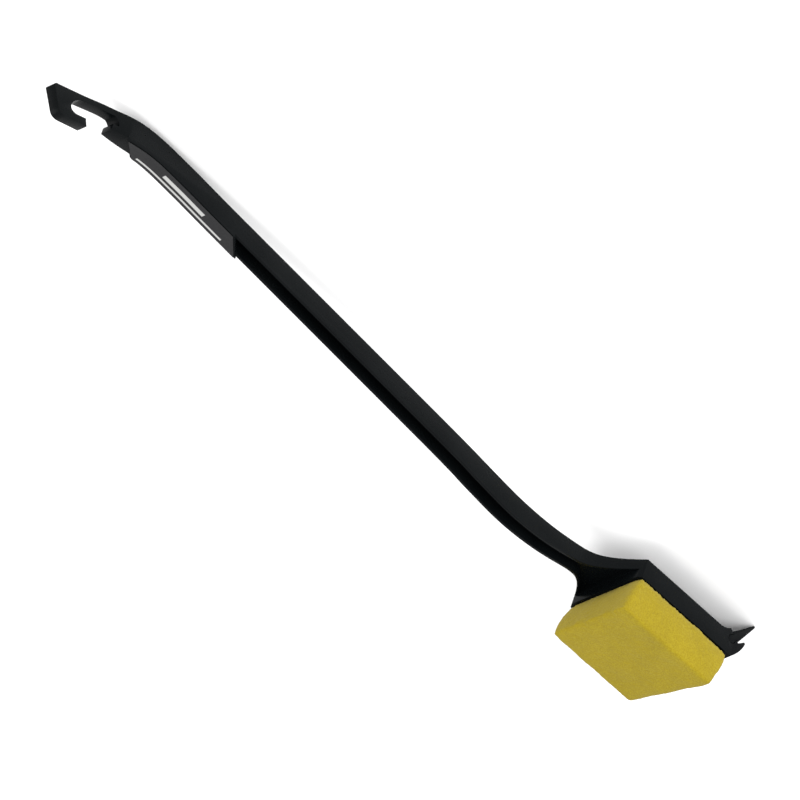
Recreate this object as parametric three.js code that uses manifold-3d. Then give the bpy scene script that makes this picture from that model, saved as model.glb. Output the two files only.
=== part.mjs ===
// A long-handled aquarium scraper: a moulded handle with a hanging hook and a tray head,
// a foam pad in the tray, a slide-in scraper blade at the tip and a label on the handle.
// Millimetres, +Z up. The tool lies on its back with the foam pad upwards, +X towards the tip.
import * as THREE from "three";
import { mergeVertices } from "three/addons/utils/BufferGeometryUtils.js";
import { ConvexGeometry } from "three/addons/geometries/ConvexGeometry.js";
import Module from "manifold-3d";

// Driving dimensions. The working frame has x = 0 at the tray's rear edge and z = 0 at its rim.
const GAP = 0.3; // between pieces that touch
const TRAY_LENGTH = 60;
const TRAY_WIDTH = 47.4;
const TRAY_DEPTH = 11;
const TRAY_WALL = 2;
const TRAY_FLOOR = 2.2;
const WELL_END = 54; // the tray's hollow ends before the blade's groove
const TRAY_LIP = 1.5; // how far the rear wall stands behind the tray
const BAR_WIDTH = 10;
const HOOK_WIDTH = 6;
const CHANNEL_WALL = 1.5;
const CHANNEL_FLOOR = 2.2;
const PAD_LENGTH = 59.5;
const PAD_HEIGHT = 20.7; // above the rim, in the middle
const PAD_TILT = 1.1; // rise of the cleaning face at its +Y edge, and fall at the other
const PAD_LEAN_REAR = 4.5; // how far the cleaning face sits behind the foot
const PAD_LEAN_FRONT = 6.8;
const PAD_SKEW = 3.8; // the front edge of the cleaning face runs askew by this each way
const TAPE_THICKNESS = 1;
const BLADE_ROOT_RADIUS = 2;
const BLADE_NECK = 3;
const BLADE_SHOULDER = 5.2;
const BLADE_TIP = 1.2;
const SEAT_DEPTH = 2.74; // from the middle of the groove to the face that the blade stands on
const BLADE_LENGTH = 18.6;
const BLADE_DROP = THREE.MathUtils.degToRad(56.6);
const LABEL_THICKNESS = 0.4;
const LABEL_START = -331; // middle of the label's slanted rear end
const LABEL_END = -258;
const LABEL_SLANT = 1.1; // run along the bar for each millimetre across it
const LAND_RISE = 1.6; // the label's raised seat above the bar
const REST_LEVEL = -24.4933; // lowest point of the tool in the working frame
const MIDDLE_X = -156.4553; // middle of the tool's length in the working frame

const GROOVE = new THREE.Vector2(59.2, -8.8); // centre of the blade's round groove
const BLADE_ALONG = new THREE.Vector2(Math.cos(BLADE_DROP), -Math.sin(BLADE_DROP));
const BLADE_ACROSS = new THREE.Vector2(Math.sin(BLADE_DROP), Math.cos(BLADE_DROP));

// The bar's back edge, from the hook's end to the tray, as x and z.
const BACK_EDGE = [
  [-382, -6.2],
  [-366, -11.4],
  [-348, -17.6],
  [-325, -22],
  [-300, -21.4],
  [-262, -18.4],
  [-120, -8.2],
  [-90, -5.6],
  [-66, -3.6],
  [-44, -4],
  [-22, -7],
  [0, -TRAY_DEPTH],
];
// The bar's front edge, from the tray back to the hook.
const FRONT_EDGE = [
  [-1.5, -5],
  [-12, -2.2],
  [-23, 1.2],
  [-44, 5.6],
  [-66, 7.2],
  [-90, 5.4],
  [-120, 2.4],
  [-262, -8],
  [-300, -11],
  [-322, -11.4],
  [-345.5, -6.8],
];
const CHANNEL_START = -262; // the channel begins under the end of the label's seat
const SLOT_ROOF = 3.2; // thickness of the bar above the hook's slot

const wasm = await Module();
wasm.setup();

const vectors = (points) => points.map(([x, z]) => new THREE.Vector2(x, z));

function solidOf(geometry) {
  const bare = geometry.clone();
  bare.deleteAttribute("normal");
  bare.deleteAttribute("uv");
  const merged = mergeVertices(bare, 1e-4);
  return new wasm.Manifold(
    new wasm.Mesh({
      numProp: 3,
      vertProperties: new Float32Array(merged.attributes.position.array),
      triVerts: new Uint32Array(merged.index.array),
    }),
  );
}

function geometryOf(solid) {
  const mesh = solid.getMesh();
  const geometry = new THREE.BufferGeometry();
  geometry.setAttribute("position", new THREE.BufferAttribute(mesh.vertProperties, 3));
  geometry.setIndex(new THREE.BufferAttribute(mesh.triVerts, 1));
  geometry.computeVertexNormals();
  return geometry;
}

// A side view outline (x, z) made solid across y, centred on the tool's middle plane.
function acrossY(shape, width, curveSegments = 12) {
  const options = { depth: width, bevelEnabled: false, curveSegments };
  const geometry = new THREE.ExtrudeGeometry(shape, options);
  return solidOf(geometry.rotateX(Math.PI / 2).translate(0, width / 2, 0));
}

// A plan outline (x, y) made solid between two heights.
function upZ(shape, low, high, curveSegments = 12) {
  const options = { depth: high - low, bevelEnabled: false, curveSegments };
  return solidOf(new THREE.ExtrudeGeometry(shape, options).translate(0, 0, low));
}

function block(x0, x1, width, z0, z1) {
  const geometry = new THREE.BoxGeometry(x1 - x0, width, z1 - z0);
  return solidOf(geometry.translate((x0 + x1) / 2, 0, (z0 + z1) / 2));
}

// A point given along and across the blade from the middle of its groove.
function bladePoint(along, across) {
  return GROOVE.clone().addScaledVector(BLADE_ALONG, along).addScaledVector(BLADE_ACROSS, across);
}

// Height of a spline edge at x, by halving.
function heightAt(edge, x) {
  const curve = new THREE.SplineCurve(vectors(edge));
  const rising = edge[0][0] < edge[edge.length - 1][0];
  let low = 0;
  let high = 1;
  for (let i = 0; i < 40; i++) {
    const middle = (low + high) / 2;
    if (curve.getPoint(middle).x < x === rising) low = middle;
    else high = middle;
  }
  return curve.getPoint(low).y;
}

const onBack = (x, rise = 0) => new THREE.Vector2(x, heightAt(BACK_EDGE, x) + rise);
const onFront = (x, rise = 0) => new THREE.Vector2(x, heightAt(FRONT_EDGE, x) + rise);

function edgeRun(height, from, to, steps, rise) {
  const points = [];
  for (let i = 0; i <= steps; i++) points.push(height(from + ((to - from) * i) / steps, rise));
  return points;
}

// Side view of the whole moulding: bar, hook, tray and the jaw below the blade.
function sideOutline() {
  const shape = new THREE.Shape();
  const rear = edgeRun(onBack, BACK_EDGE[0][0], 0, 90, 0);
  shape.moveTo(rear[0].x, rear[0].y);
  rear.slice(1).forEach((p) => shape.lineTo(p.x, p.y));
  const lipStart = bladePoint(SEAT_DEPTH, -4.6);
  const lipEnd = bladePoint(SEAT_DEPTH, 3.2);
  shape.lineTo(50, -TRAY_DEPTH);
  shape.quadraticCurveTo(54, -TRAY_DEPTH, lipStart.x, lipStart.y);
  shape.lineTo(lipEnd.x, lipEnd.y);
  shape.lineTo(66.6, -12.4); // jaw tip
  shape.lineTo(67.3, -11.8);
  shape.quadraticCurveTo(66.4, -6, TRAY_LENGTH + 1.5, 0);
  shape.lineTo(-TRAY_LIP, 0);
  const front = edgeRun(onFront, -TRAY_LIP, -345.5, 80, 0);
  front.forEach((p) => shape.lineTo(p.x, p.y));
  // the hook: ledge, slot, prong and rounded end
  shape.lineTo(-345.5, -10.4);
  shape.lineTo(-342.4, -11);
  shape.quadraticCurveTo(-342.6, -14, -346, onBack(-346, SLOT_ROOF).y);
  edgeRun(onBack, -350, -366, 6, SLOT_ROOF).forEach((p) => shape.lineTo(p.x, p.y));
  shape.quadraticCurveTo(-370.8, -5, -370, -1.6);
  shape.quadraticCurveTo(-368.8, 1, -364.5, -0.4);
  shape.lineTo(-360.2, -1.8);
  shape.lineTo(-358.4, 1.8);
  shape.lineTo(-370.5, 5.6);
  shape.quadraticCurveTo(-374.9, 6.8, -376.8, 3.2);
  shape.lineTo(-382.6, -5);
  shape.closePath();
  return shape;
}

// Plan of the moulding, mirrored about the middle plane, as x and half width.
function planOutline(inset) {
  const hook = HOOK_WIDTH / 2 - inset;
  const bar = BAR_WIDTH / 2 - inset;
  const head = TRAY_WIDTH / 2 - inset;
  const shape = new THREE.Shape();
  shape.moveTo(-390, -hook);
  shape.lineTo(-352, -hook);
  shape.bezierCurveTo(-344, -hook, -340, -bar, -330, -bar);
  shape.lineTo(-26, -bar);
  shape.bezierCurveTo(-15, -bar, -10, -bar - 4, 0, -head);
  shape.lineTo(75, -head);
  shape.lineTo(75, head);
  shape.lineTo(0, head);
  shape.bezierCurveTo(-10, bar + 4, -15, bar, -26, bar);
  shape.lineTo(-330, bar);
  shape.bezierCurveTo(-340, bar, -344, hook, -352, hook);
  shape.lineTo(-390, hook);
  shape.closePath();
  return shape;
}

// The hollow of the bar and the fan, open on the foam side.
function channelHollow() {
  const shape = new THREE.Shape();
  const end = -TRAY_LIP - 0.2;
  const floor = edgeRun(onBack, CHANNEL_START, end, 60, CHANNEL_FLOOR);
  shape.moveTo(CHANNEL_START, 20);
  floor.forEach((p) => shape.lineTo(p.x, p.y));
  shape.lineTo(end, 20);
  shape.closePath();
  const side = acrossY(shape, TRAY_WIDTH + 10);
  return side.intersect(upZ(planOutline(CHANNEL_WALL), -40, 40, 16));
}

// The label's plan: a strip with both ends slanted across the bar.
function labelPlan(start, end, width) {
  const half = width / 2;
  const run = LABEL_SLANT * half;
  const shape = new THREE.Shape();
  shape.moveTo(start - run, half);
  shape.lineTo(start + run, -half);
  shape.lineTo(end + run, -half);
  shape.lineTo(end - run, half);
  shape.closePath();
  return shape;
}

// A layer that follows the bar's front edge between two rises above it.
function frontLayer(low, high) {
  const shape = new THREE.Shape();
  const under = edgeRun(onFront, -340, -250, 30, low);
  const over = edgeRun(onFront, -250, -340, 30, high);
  shape.moveTo(under[0].x, under[0].y);
  under.slice(1).concat(over).forEach((p) => shape.lineTo(p.x, p.y));
  shape.closePath();
  return acrossY(shape, BAR_WIDTH + 2);
}

function bladeGroove() {
  const shape = new THREE.Shape();
  const half = BLADE_NECK / 2 + GAP;
  const radius = BLADE_ROOT_RADIUS + GAP;
  const open = Math.asin(half / radius);
  const steps = 24;
  for (let i = 0; i <= steps; i++) {
    const turn = open + ((2 * Math.PI - 2 * open) * i) / steps;
    const p = bladePoint(radius * Math.cos(turn), radius * Math.sin(turn));
    if (i === 0) shape.moveTo(p.x, p.y);
    else shape.lineTo(p.x, p.y);
  }
  [bladePoint(5, -half), bladePoint(5, half)].forEach((p) => shape.lineTo(p.x, p.y));
  shape.closePath();
  return acrossY(shape, TRAY_WIDTH + 4);
}

function handleFrame() {
  const body = acrossY(sideOutline(), TRAY_WIDTH + 4);
  const outer = body.intersect(upZ(planOutline(0), -40, 40, 16));
  const seat = upZ(labelPlan(LABEL_START, LABEL_END, BAR_WIDTH), -40, 20);
  const land = frontLayer(-1, LAND_RISE).intersect(seat);
  const inner = TRAY_WIDTH - 2 * TRAY_WALL;
  const well = block(TRAY_WALL - TRAY_LIP, WELL_END, inner, TRAY_FLOOR - TRAY_DEPTH, 5);
  const hollowed = outer.subtract(channelHollow()).add(land);
  return hollowed.subtract(well).subtract(bladeGroove());
}

function scraperBlade() {
  const shape = new THREE.Shape();
  const neck = BLADE_NECK / 2;
  const open = Math.asin(neck / BLADE_ROOT_RADIUS);
  const shoulder = SEAT_DEPTH + GAP;
  const steps = 20;
  for (let i = 0; i <= steps; i++) {
    const turn = open + ((2 * Math.PI - 2 * open) * i) / steps;
    const p = bladePoint(BLADE_ROOT_RADIUS * Math.cos(turn), BLADE_ROOT_RADIUS * Math.sin(turn));
    if (i === 0) shape.moveTo(p.x, p.y);
    else shape.lineTo(p.x, p.y);
  }
  const rest = [
    [shoulder, -neck],
    [shoulder, -BLADE_SHOULDER / 2],
    [shoulder + 0.8, -BLADE_SHOULDER / 2],
    [BLADE_LENGTH - 0.5, -BLADE_TIP / 2],
    [BLADE_LENGTH, -BLADE_TIP / 4],
    [BLADE_LENGTH, BLADE_TIP / 4],
    [BLADE_LENGTH - 0.5, BLADE_TIP / 2],
    [shoulder + 0.8, BLADE_SHOULDER / 2],
    [shoulder, BLADE_SHOULDER / 2],
    [shoulder, neck],
  ];
  rest.forEach(([along, across]) => {
    const p = bladePoint(along, across);
    shape.lineTo(p.x, p.y);
  });
  shape.closePath();
  return acrossY(shape, TRAY_WIDTH);
}

// The foam pad: a foot inside the tray and a block above the rim that leans back.
function spongePad() {
  const footWidth = TRAY_WIDTH - 2 * TRAY_WALL - 2 * GAP;
  const footLow = TRAY_FLOOR - TRAY_DEPTH + TAPE_THICKNESS + 2 * GAP;
  const foot = block(TRAY_WALL - TRAY_LIP + GAP, WELL_END - GAP, footWidth, footLow, 2);
  const half = TRAY_WIDTH / 2;
  const corners = [];
  for (const side of [-1, 1]) {
    const y = side * half;
    const top = PAD_HEIGHT + side * PAD_TILT;
    corners.push(new THREE.Vector3(0, y, GAP));
    corners.push(new THREE.Vector3(PAD_LENGTH, y, GAP));
    corners.push(new THREE.Vector3(-PAD_LEAN_REAR, y, top));
    corners.push(new THREE.Vector3(PAD_LENGTH - PAD_LEAN_FRONT + side * PAD_SKEW, y, top));
  }
  return foot.add(solidOf(new ConvexGeometry(corners)));
}

function spongeTape() {
  const low = TRAY_FLOOR - TRAY_DEPTH + GAP;
  return block(3, 52, TRAY_WIDTH - 9, low, low + TAPE_THICKNESS);
}

function handleLabel() {
  const low = LAND_RISE + GAP;
  const plan = labelPlan(LABEL_START + 1, LABEL_END - 1, BAR_WIDTH - 0.8);
  return frontLayer(low, low + LABEL_THICKNESS).intersect(upZ(plan, -40, 20));
}

const plastic = new THREE.MeshStandardMaterial({ color: 0x14191b, roughness: 0.38, metalness: 0 });
const bladePlastic = new THREE.MeshStandardMaterial({ color: 0x16191a, roughness: 0.45 });
const foam = new THREE.MeshStandardMaterial({ color: 0xe6cf3a, roughness: 0.95, metalness: 0 });
const labelStock = new THREE.MeshStandardMaterial({ color: 0x424242, roughness: 0.7 });
const tapeStock = new THREE.MeshStandardMaterial({ color: 0x1a1a1a, roughness: 0.9 });

const group = new THREE.Group();
group.position.set(-MIDDLE_X, 0, -REST_LEVEL);

function addPart(name, solid, material) {
  const mesh = new THREE.Mesh(geometryOf(solid), material);
  mesh.name = name;
  group.add(mesh);
}

addPart("handle_frame", handleFrame(), plastic);
addPart("scraper_blade", scraperBlade(), bladePlastic);
addPart("sponge_pad", spongePad(), foam);
addPart("sponge_tape", spongeTape(), tapeStock);
addPart("handle_label", handleLabel(), labelStock);

export default group;
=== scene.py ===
import math
import bmesh
import bpy
from mathutils import Matrix, Vector, noise


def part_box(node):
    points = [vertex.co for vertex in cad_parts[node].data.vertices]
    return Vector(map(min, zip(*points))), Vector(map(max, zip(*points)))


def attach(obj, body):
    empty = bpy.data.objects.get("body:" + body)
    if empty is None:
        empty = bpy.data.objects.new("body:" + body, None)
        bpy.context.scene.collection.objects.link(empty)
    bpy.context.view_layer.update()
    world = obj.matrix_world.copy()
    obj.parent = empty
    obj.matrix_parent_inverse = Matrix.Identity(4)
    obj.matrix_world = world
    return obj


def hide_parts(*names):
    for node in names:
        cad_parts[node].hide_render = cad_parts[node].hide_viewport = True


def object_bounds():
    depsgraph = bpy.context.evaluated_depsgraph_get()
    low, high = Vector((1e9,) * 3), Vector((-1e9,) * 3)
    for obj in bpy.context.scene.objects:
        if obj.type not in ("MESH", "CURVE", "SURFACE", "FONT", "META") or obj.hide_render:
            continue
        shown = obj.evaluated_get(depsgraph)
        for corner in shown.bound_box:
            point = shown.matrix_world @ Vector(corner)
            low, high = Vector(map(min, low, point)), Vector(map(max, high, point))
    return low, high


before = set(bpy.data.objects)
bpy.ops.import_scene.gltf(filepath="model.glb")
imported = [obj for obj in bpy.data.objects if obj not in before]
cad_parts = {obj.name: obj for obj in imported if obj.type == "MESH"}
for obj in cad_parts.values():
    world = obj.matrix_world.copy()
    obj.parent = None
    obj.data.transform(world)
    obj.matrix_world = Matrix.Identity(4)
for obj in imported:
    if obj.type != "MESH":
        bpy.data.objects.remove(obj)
cad_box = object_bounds()

MM = 0.001

# Mesh work on the mouldings.
WELD = 0.01 * MM  # facet corners closer than this become one
FLAT_ANGLE = math.radians(0.4)  # triangles that turn less than this are one flat face
CREASE_ANGLE = math.radians(32)  # edges that turn more than this are rounded
HANDLE_ROUND = 0.35 * MM
BLADE_ROUND = 0.2 * MM
ROUND_SEGMENTS = 3

# Foam.
FOAM_VOXEL = 0.9 * MM
FOAM_ROUNDING = 30  # smoothing passes that round the foam's edges
FOAM_SWELL = 1.3 * MM  # how far the foam's sides swell
SWELL_START = 0.12  # share of the swell's arch that is already passed at the rim
SIDE_PULL = 0.7  # how much of the swell the end faces take
FOAM_LEAN = 1.6 * MM  # how far the -Y edge of the cleaning face hangs out
LUMPS = (90, 0.5 * MM)  # noise scale per metre, and height, of the slow waves in a cut face
CELLS = ((800, 0.16 * MM), (420, 0.14 * MM))  # the same for the open cells
RAG = (600, 1.2 * MM)  # the same for the uneven cut along the tray's rim
RAG_LIFT = 0.3  # keeps most of the ragged cut above the rim
RAG_SHARE = 0.08  # the ragged cut's part of the height above the rim
RIM_ABOVE_FOOT = 7.5 * MM  # the tray's rim, above the foot of the pad
RIM_REACH = 0.3 * MM  # the shaping starts this far under the rim

# Label print: the centre and half width of each bar across the label, and its half length
# as a share of the label's.
INK = (0.42, 0.42, 0.41)
LONG_BAR = (-2.3 * MM, 0.55 * MM, 0.36)
SHORT_BAR = (0.9 * MM, 1.1 * MM, 0.17)

# Camera and studio.
CAMERA_RIGHT = Vector((0.670, 0.696, -0.259)).normalized()
CAMERA_DOWN = Vector((0.598, -0.297, 0.744)).normalized()
CAMERA_AIM = Vector((0.0324, -0.0298, -0.0075))
CAMERA_DISTANCE = 10.276
LENS = 1000  # millimetres
AIM_HEIGHT = 0.02  # the lights point at the object's middle, this high
LIGHTS = (  # name, place, diameter and watts
    ("key", (0.15, 1.1, 0.55), 1.0, 13),
    ("top", (-0.2, -0.1, 1.4), 1.0, 5),
    ("rear", (-0.7, -0.9, 0.5), 0.8, 4),
)
SKY_STRENGTH = 0.95
FLOOR_HALF = 6
FLOOR_DROP = 0.2 * MM  # the floor lies this far under the object


# --- small helpers -----------------------------------------------------------

def copy_of(node, name):
    """A new object with a copy of the CAD node's mesh."""
    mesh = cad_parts[node].data.copy()
    mesh.materials.clear()
    piece = bpy.data.objects.new(name, mesh)
    bpy.context.scene.collection.objects.link(piece)
    return piece


def apply_modifiers(piece):
    """Replaces the piece's mesh with the result of its modifiers."""
    graph = bpy.context.evaluated_depsgraph_get()
    made = bpy.data.meshes.new_from_object(piece.evaluated_get(graph))
    piece.modifiers.clear()
    piece.data = made


def clean_facets(piece):
    """Welds the facets' corners and joins the flat triangles into larger faces."""
    work = bmesh.new()
    work.from_mesh(piece.data)
    bmesh.ops.remove_doubles(work, verts=work.verts, dist=WELD)
    bmesh.ops.dissolve_limit(work, angle_limit=FLAT_ANGLE, verts=work.verts, edges=work.edges)
    work.to_mesh(piece.data)
    work.free()


def smooth(piece, angle=CREASE_ANGLE):
    """Shades the faces smooth across every edge that turns less than the angle."""
    for face in piece.data.polygons:
        face.use_smooth = True
    work = bmesh.new()
    work.from_mesh(piece.data)
    for edge in work.edges:
        if len(edge.link_faces) == 2:
            edge.smooth = edge.calc_face_angle() < angle
    work.to_mesh(piece.data)
    work.free()


def rounded(piece, radius):
    """Rounds every sharp edge and shades the rest smooth."""
    clean_facets(piece)
    bevel = piece.modifiers.new("round", "BEVEL")
    bevel.width = radius
    bevel.segments = ROUND_SEGMENTS
    bevel.limit_method = "ANGLE"
    bevel.angle_limit = CREASE_ANGLE
    apply_modifiers(piece)
    smooth(piece)


# --- node helpers ------------------------------------------------------------

def material(name):
    made = bpy.data.materials.new(name)
    made.use_nodes = True
    return made, made.node_tree.nodes, made.node_tree.links


def noise_node(nodes, links, scale, detail, place, roughness=0.55):
    node = nodes.new("ShaderNodeTexNoise")
    node.inputs["Scale"].default_value = scale
    node.inputs["Detail"].default_value = detail
    node.inputs["Roughness"].default_value = roughness
    links.new(place.outputs["Object"], node.inputs["Vector"])
    return node


def cell_node(nodes, links, scale, place, randomness=1.0):
    node = nodes.new("ShaderNodeTexVoronoi")
    node.inputs["Scale"].default_value = scale
    node.inputs["Randomness"].default_value = randomness
    links.new(place.outputs["Object"], node.inputs["Vector"])
    return node


def ramp_node(nodes, links, source, stops):
    """Turns a value into a colour. The stops are places and colours, in rising order."""
    node = nodes.new("ShaderNodeValToRGB")
    band = node.color_ramp.elements
    band[0].position, band[0].color = stops[0][0], (*stops[0][1], 1)
    band[1].position, band[1].color = stops[-1][0], (*stops[-1][1], 1)
    for place, colour in stops[1:-1]:
        added = band.new(place)
        added.color = (*colour, 1)
    links.new(source, node.inputs["Fac"])
    return node


def range_node(nodes, links, source, low, high):
    node = nodes.new("ShaderNodeMapRange")
    node.inputs["To Min"].default_value = low
    node.inputs["To Max"].default_value = high
    links.new(source, node.inputs["Value"])
    return node


def bump_node(nodes, links, height, distance, strength, before=None):
    node = nodes.new("ShaderNodeBump")
    node.inputs["Distance"].default_value = distance
    node.inputs["Strength"].default_value = strength
    links.new(height, node.inputs["Height"])
    if before:
        links.new(before.outputs["Normal"], node.inputs["Normal"])
    return node


def math_node(nodes, links, operation, first, second):
    node = nodes.new("ShaderNodeMath")
    node.operation = operation
    links.new(first.outputs[0], node.inputs[0])
    links.new(second.outputs[0], node.inputs[1])
    return node


def mix_sockets(nodes, blend):
    """A mix of two colours, as its factor, its two colour inputs and its colour output."""
    node = nodes.new("ShaderNodeMix")
    node.data_type = "RGBA"
    node.blend_type = blend
    factor = next(s for s in node.inputs if s.name == "Factor" and s.type == "VALUE")
    first, second = [s for s in node.inputs if s.name in "AB" and s.type == "RGBA"]
    factor.default_value = 1
    return factor, first, second, next(s for s in node.outputs if s.type == "RGBA")


def darkened(nodes, links, colour, shade):
    """The colour times the shade, as an output socket."""
    _, first, second, result = mix_sockets(nodes, "MULTIPLY")
    links.new(colour, first)
    links.new(shade, second)
    return result


# --- materials ---------------------------------------------------------------

def moulded_plastic(name, dark, light, rough_low, rough_high):
    """Injection moulded plastic: faint flow marks, a fine grain and slight colour drift."""
    made, nodes, links = material(name)
    shader = nodes["Principled BSDF"]
    place = nodes.new("ShaderNodeTexCoord")
    drift = noise_node(nodes, links, 35, 3, place)
    colour = ramp_node(nodes, links, drift.outputs["Fac"], [(0.3, dark), (0.7, light)])
    links.new(colour.outputs["Color"], shader.inputs["Base Color"])
    scuffs = noise_node(nodes, links, 260, 4, place, 0.7)
    rough = range_node(nodes, links, scuffs.outputs["Fac"], rough_low, rough_high)
    links.new(rough.outputs["Result"], shader.inputs["Roughness"])
    flow = noise_node(nodes, links, 90, 2, place)
    waves = bump_node(nodes, links, flow.outputs["Fac"], 0.25 * MM, 0.25)
    grain = noise_node(nodes, links, 2600, 2, place)
    fine = bump_node(nodes, links, grain.outputs["Fac"], 0.03 * MM, 0.35, waves)
    links.new(fine.outputs["Normal"], shader.inputs["Normal"])
    shader.inputs["Specular IOR Level"].default_value = 0.045
    return made


def open_cell_foam():
    """Yellow polyurethane foam: a mass of small open cells, with painted shade darkening the hollow
    middle of each cell and pore.
    """
    made, nodes, links = material("yellow_foam")
    shader = nodes["Principled BSDF"]
    place = nodes.new("ShaderNodeTexCoord")
    cells = cell_node(nodes, links, 1500, place)
    pores = cell_node(nodes, links, 520, place)
    # Painted shade: the foam's own yellow, darker towards the hollow middle of each small cell.
    cell_shaded_yellow = ramp_node(
        nodes, links, cells.outputs["Distance"],
        [(0.0, (0.190, 0.130, 0.003)), (0.35, (0.256, 0.188, 0.005)), (0.8, (0.293, 0.225, 0.009))],
    )
    patch = noise_node(nodes, links, 55, 4, place)
    shade = ramp_node(
        nodes, links, patch.outputs["Fac"],
        [(0.3, (0.90, 0.90, 0.84)), (0.7, (1.0, 1.0, 1.0))],
    )
    # Painted shade: darker in the hollow middle of each pore, where the deep bump below sinks.
    painted_pore_shade = ramp_node(
        nodes, links, pores.outputs["Distance"],
        [(0.04, (0.78, 0.73, 0.58)), (0.16, (1.0, 1.0, 1.0))],
    )
    shaded = darkened(nodes, links, cell_shaded_yellow.outputs["Color"], shade.outputs["Color"])
    pore_shaded_colour = darkened(nodes, links, shaded, painted_pore_shade.outputs["Color"])
    links.new(pore_shaded_colour, shader.inputs["Base Color"])
    deep = bump_node(nodes, links, pores.outputs["Distance"], 0.25 * MM, 0.4)
    fine = bump_node(nodes, links, cells.outputs["Distance"], 0.18 * MM, 0.5, deep)
    links.new(fine.outputs["Normal"], shader.inputs["Normal"])
    shader.inputs["Roughness"].default_value = 0.95
    shader.inputs["Specular IOR Level"].default_value = 0.15
    shader.inputs["Sheen Weight"].default_value = 0.12
    shader.inputs["Sheen Roughness"].default_value = 0.6
    shader.inputs["Sheen Tint"].default_value = (1.0, 0.93, 0.55, 1)
    return made


def label_film(low, high):
    """Matt grey label film with two plain printed bars: a short broad one and a long thin one."""
    made, nodes, links = material("label_film")
    shader = nodes["Principled BSDF"]
    place = nodes.new("ShaderNodeTexCoord")
    axes = nodes.new("ShaderNodeSeparateXYZ")
    links.new(place.outputs["Object"], axes.inputs["Vector"])
    length = high[0] - low[0]
    middle = (low[0] + high[0]) / 2

    def band(axis, centre, half):
        """1 within half of the centre along the axis, and 0 elsewhere."""
        node = nodes.new("ShaderNodeMath")
        node.operation = "COMPARE"
        node.inputs[1].default_value = centre
        node.inputs[2].default_value = half
        links.new(axes.outputs[axis], node.inputs[0])
        return node

    def bar(centre, half_width, half_share):
        across = band("Y", centre, half_width)
        return math_node(nodes, links, "MULTIPLY", band("X", middle, half_share * length), across)

    printed = math_node(nodes, links, "MAXIMUM", bar(*LONG_BAR), bar(*SHORT_BAR))
    speck = noise_node(nodes, links, 900, 3, place)
    film = ramp_node(
        nodes, links, speck.outputs["Fac"],
        [(0.3, (0.013, 0.013, 0.014)), (0.7, (0.019, 0.019, 0.020))],
    )
    factor, bare, inked, result = mix_sockets(nodes, "MIX")
    links.new(printed.outputs[0], factor)
    links.new(film.outputs["Color"], bare)
    inked.default_value = (*INK, 1)
    links.new(result, shader.inputs["Base Color"])
    fine = bump_node(nodes, links, speck.outputs["Fac"], 0.03 * MM, 0.3)
    links.new(fine.outputs["Normal"], shader.inputs["Normal"])
    shader.inputs["Roughness"].default_value = 0.62
    shader.inputs["Specular IOR Level"].default_value = 0.2
    return made


def hook_tape_cloth():
    """Black hook tape: a close grid of small stiff hooks."""
    made, nodes, links = material("hook_tape_cloth")
    shader = nodes["Principled BSDF"]
    place = nodes.new("ShaderNodeTexCoord")
    hooks = cell_node(nodes, links, 900, place, 0.3)
    colour = ramp_node(
        nodes, links, hooks.outputs["Distance"],
        [(0.1, (0.05, 0.05, 0.05)), (0.6, (0.012, 0.012, 0.012))],
    )
    links.new(colour.outputs["Color"], shader.inputs["Base Color"])
    rise = bump_node(nodes, links, hooks.outputs["Distance"], 0.5 * MM, 0.9)
    links.new(rise.outputs["Normal"], shader.inputs["Normal"])
    shader.inputs["Roughness"].default_value = 0.85
    return made


# --- pieces ------------------------------------------------------------------

def rigid_piece(node, name, body, look, radius):
    """The CAD node's shape with rounded edges and its own material."""
    piece = copy_of(node, name)
    rounded(piece, radius)
    piece.data.materials.append(look)
    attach(piece, body)
    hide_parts(node)
    return piece


def waves(at, scale, height):
    """A noise wave's height at a point."""
    return noise.noise(at * scale) * height


def soft_block(name):
    """The pad's CAD solid as an even mesh with its edges rounded."""
    pad = copy_of("sponge_pad", name)
    remesh = pad.modifiers.new("voxels", "REMESH")
    remesh.mode = "VOXEL"
    remesh.voxel_size = FOAM_VOXEL
    even = pad.modifiers.new("even", "SMOOTH")
    even.factor = 0.5
    even.iterations = FOAM_ROUNDING
    apply_modifiers(pad)
    return pad


def foam_pad(look):
    """The pad as soft foam: rounded edges, swollen sides, a rough cut face and a ragged rim."""
    low, high = (Vector(corner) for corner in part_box("sponge_pad"))
    pad = soft_block("foam_pad")
    rim = low.z + RIM_ABOVE_FOOT
    middle = (low + high) / 2
    height = high.z - rim
    normals = [v.normal.copy() for v in pad.data.vertices]
    for vertex, normal in zip(pad.data.vertices, normals):
        at = vertex.co.copy()
        share = min(max((at.z - rim) / height, 0), 1)
        if at.z > rim - RIM_REACH:
            swell = FOAM_SWELL * math.sin(math.pi * min(share + SWELL_START, 1))
            cells = sum(waves(at, *wave) for wave in CELLS)
            side = Vector((normal.x * SIDE_PULL, normal.y, 0))
            vertex.co = at + side * swell + normal * (waves(at, *LUMPS) + cells)
            if share < RAG_SHARE and normal.z < 0.5:
                scale, depth = RAG
                vertex.co.z += (noise.noise(at * scale) + RAG_LIFT) * depth
        if at.z > rim and at.y < middle.y:
            vertex.co.y -= FOAM_LEAN * share * (middle.y - at.y) / (middle.y - low.y)
    smooth(pad, math.pi)
    pad.data.materials.append(look)
    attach(pad, "sponge")
    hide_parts("sponge_pad")
    return pad


def dress(node, look):
    """Gives its material to a CAD node that stays."""
    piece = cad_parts[node]
    piece.data.materials.clear()
    piece.data.materials.append(look)


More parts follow.
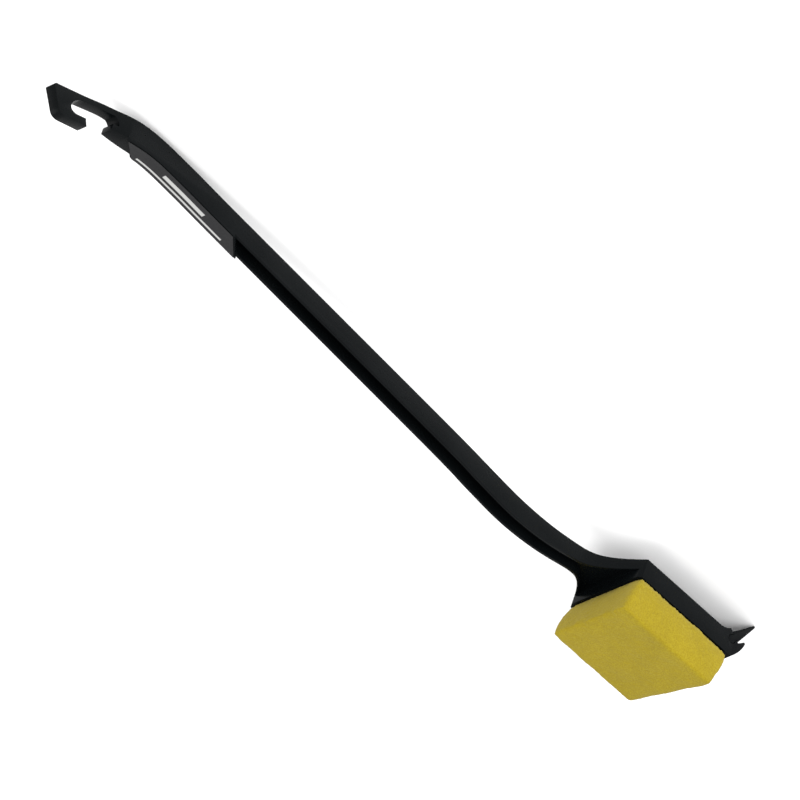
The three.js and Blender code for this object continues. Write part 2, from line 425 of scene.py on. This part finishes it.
def build_pieces():
    handle_plastic = moulded_plastic(
        "handle_plastic", (0.0018, 0.0025, 0.0029), (0.0035, 0.0044, 0.0048), 0.2, 0.34)
    blade_plastic = moulded_plastic(
        "blade_plastic", (0.0021, 0.0027, 0.0031), (0.0038, 0.0047, 0.0051), 0.26, 0.42)
    rigid_piece(
        "handle_frame", "handle_moulding", "handle", handle_plastic, HANDLE_ROUND)
    rigid_piece(
        "scraper_blade", "blade_moulding", "blade", blade_plastic, BLADE_ROUND)
    foam_pad(open_cell_foam())
    dress("sponge_tape", hook_tape_cloth())
    dress("handle_label", label_film(*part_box("handle_label")))


# --- stage -------------------------------------------------------------------

def place_camera():
    """A long lens far off, so that the view is nearly parallel."""
    data = bpy.data.cameras.new("camera")
    data.lens = LENS
    camera = bpy.data.objects.new("camera", data)
    bpy.context.scene.collection.objects.link(camera)
    back = CAMERA_RIGHT.cross(-CAMERA_DOWN).normalized()
    up = back.cross(CAMERA_RIGHT)
    turn = Matrix((CAMERA_RIGHT, up, back)).transposed().to_4x4()
    camera.matrix_world = Matrix.Translation(CAMERA_AIM + back * CAMERA_DISTANCE) @ turn
    bpy.context.scene.camera = camera


def area_light(name, place, aim, size, watts):
    data = bpy.data.lights.new(name, "AREA")
    data.shape = "DISK"
    data.size = size
    data.energy = watts
    light = bpy.data.objects.new(name, data)
    light.location = place
    light.rotation_euler = (Vector(aim) - Vector(place)).to_track_quat("-Z", "Y").to_euler()
    bpy.context.scene.collection.objects.link(light)


def studio():
    middle = ((cad_box[0][0] + cad_box[1][0]) / 2, 0, AIM_HEIGHT)
    for name, place, size, watts in LIGHTS:
        area_light(name, place, middle, size, watts)
    world = bpy.data.worlds.new("studio")
    world.use_nodes = True
    sky = world.node_tree.nodes["Background"]
    sky.inputs["Color"].default_value = (1, 1, 1, 1)
    sky.inputs["Strength"].default_value = SKY_STRENGTH
    bpy.context.scene.world = world
    bpy.context.scene.view_settings.view_transform = "Standard"  # keeps the foam's yellow


def floor():
    made, nodes, _ = material("floor_paint")
    shader = nodes["Principled BSDF"]
    shader.inputs["Base Color"].default_value = (1.0, 1.0, 1.0, 1)
    shader.inputs["Roughness"].default_value = 0.9
    shader.inputs["Specular IOR Level"].default_value = 0.1
    level = cad_box[0][2] - FLOOR_DROP
    signs = [(-1, -1), (1, -1), (1, 1), (-1, 1)]
    corners = [(x * FLOOR_HALF, y * FLOOR_HALF, level) for x, y in signs]
    mesh = bpy.data.meshes.new("floor")
    mesh.from_pydata(corners, [], [(0, 1, 2, 3)])
    mesh.materials.append(made)
    ground = bpy.data.objects.new("floor", mesh)
    bpy.context.scene.collection.objects.link(ground)


build_pieces()
place_camera()
studio()
floor()
